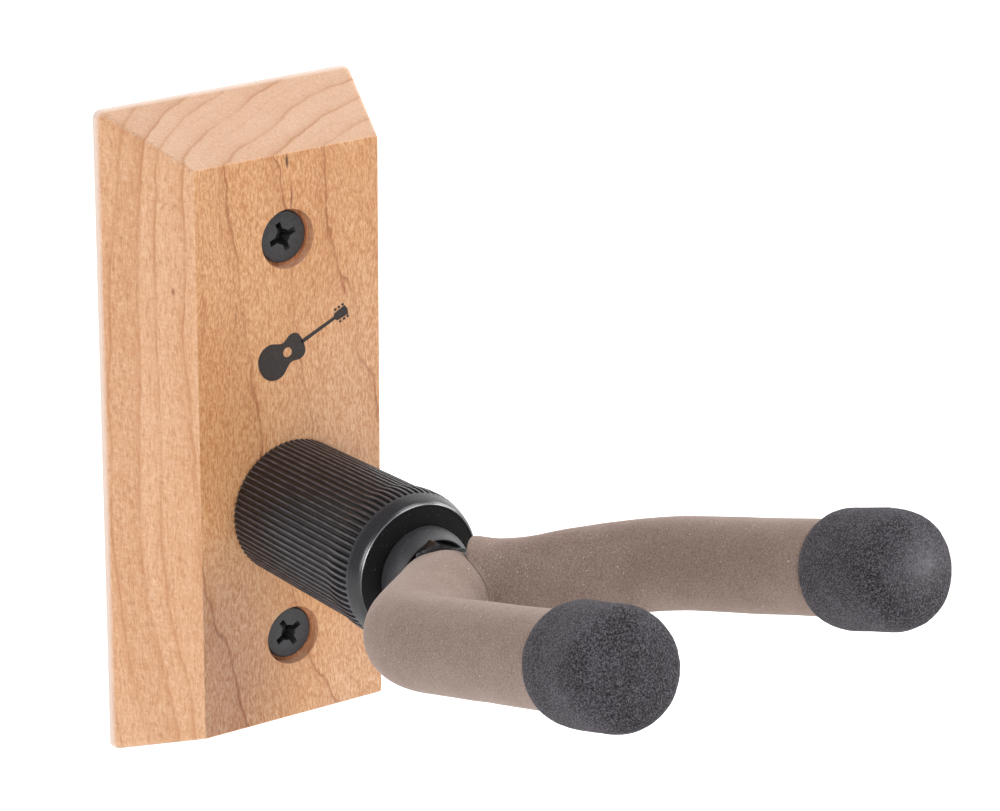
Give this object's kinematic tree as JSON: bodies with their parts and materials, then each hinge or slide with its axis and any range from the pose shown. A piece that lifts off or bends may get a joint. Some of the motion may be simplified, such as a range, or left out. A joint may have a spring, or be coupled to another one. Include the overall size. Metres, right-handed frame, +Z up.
{
  "type": "wall guitar hanger",
  "caption": "Wall guitar hanger: bevelled wooden block with a ribbed black swivel housing and a foam-covered forked yoke that cradles a neck and turns to suit the headstock.",
  "frame": {"origin": "centre of the wooden block's back face, on the wall plane", "axes": "+Y into the wall, -Y out into the room, +Z up, +X to the right seen from the room"},
  "size_m": [0.0847, 0.2042, 0.127],
  "materials": {
    "cherry_wood": "clear satin lacquer over cherry",
    "black_phosphate": "matte black phosphate on steel",
    "black_anodised": "satin black anodised, machined ribs",
    "zinc_steel": "bright zinc plate",
    "black_acetal": "matte black acetal",
    "bare_steel": "turned steel",
    "spring_steel": "blued spring steel",
    "white_nylon": "natural nylon",
    "black_collar": "matte black, fine grain",
    "black_enamel": "gloss black enamel on steel",
    "tan_foam": "matte taupe closed-cell foam",
    "grey_foam": "matte charcoal open-pore foam"
  },
  "bodies": {
    "wall_mount": {"wood_block": "cherry_wood", "mounting_screws": "black_phosphate", "swivel_housing": "black_anodised", "housing_bolt": "zinc_steel", "bolt_lock_washer": "zinc_steel", "bolt_flat_washer": "zinc_steel", "bearing_plug": "black_acetal", "thrust_washer": "black_acetal"},
    "yoke": {"swivel_stem": "bare_steel", "stem_washer_front": "zinc_steel", "stem_disc_spring": "spring_steel", "stem_washer_rear": "zinc_steel", "stem_locknut": "zinc_steel", "locknut_insert": "white_nylon", "swivel_collar": "black_collar", "yoke_knuckle": "black_enamel", "yoke_rod": "black_enamel", "foam_sleeve_left": "tan_foam", "foam_sleeve_right": "tan_foam", "foam_cap_left": "grey_foam", "foam_cap_right": "grey_foam"}
  },
  "joints": [
    {"name": "yoke_swivel", "type": "hinge", "parent": "wall_mount", "child": "yoke", "pos_m": [0, -0.0639, -0.01297], "axis": [0, -1, 0], "continuous": true}
  ]
}
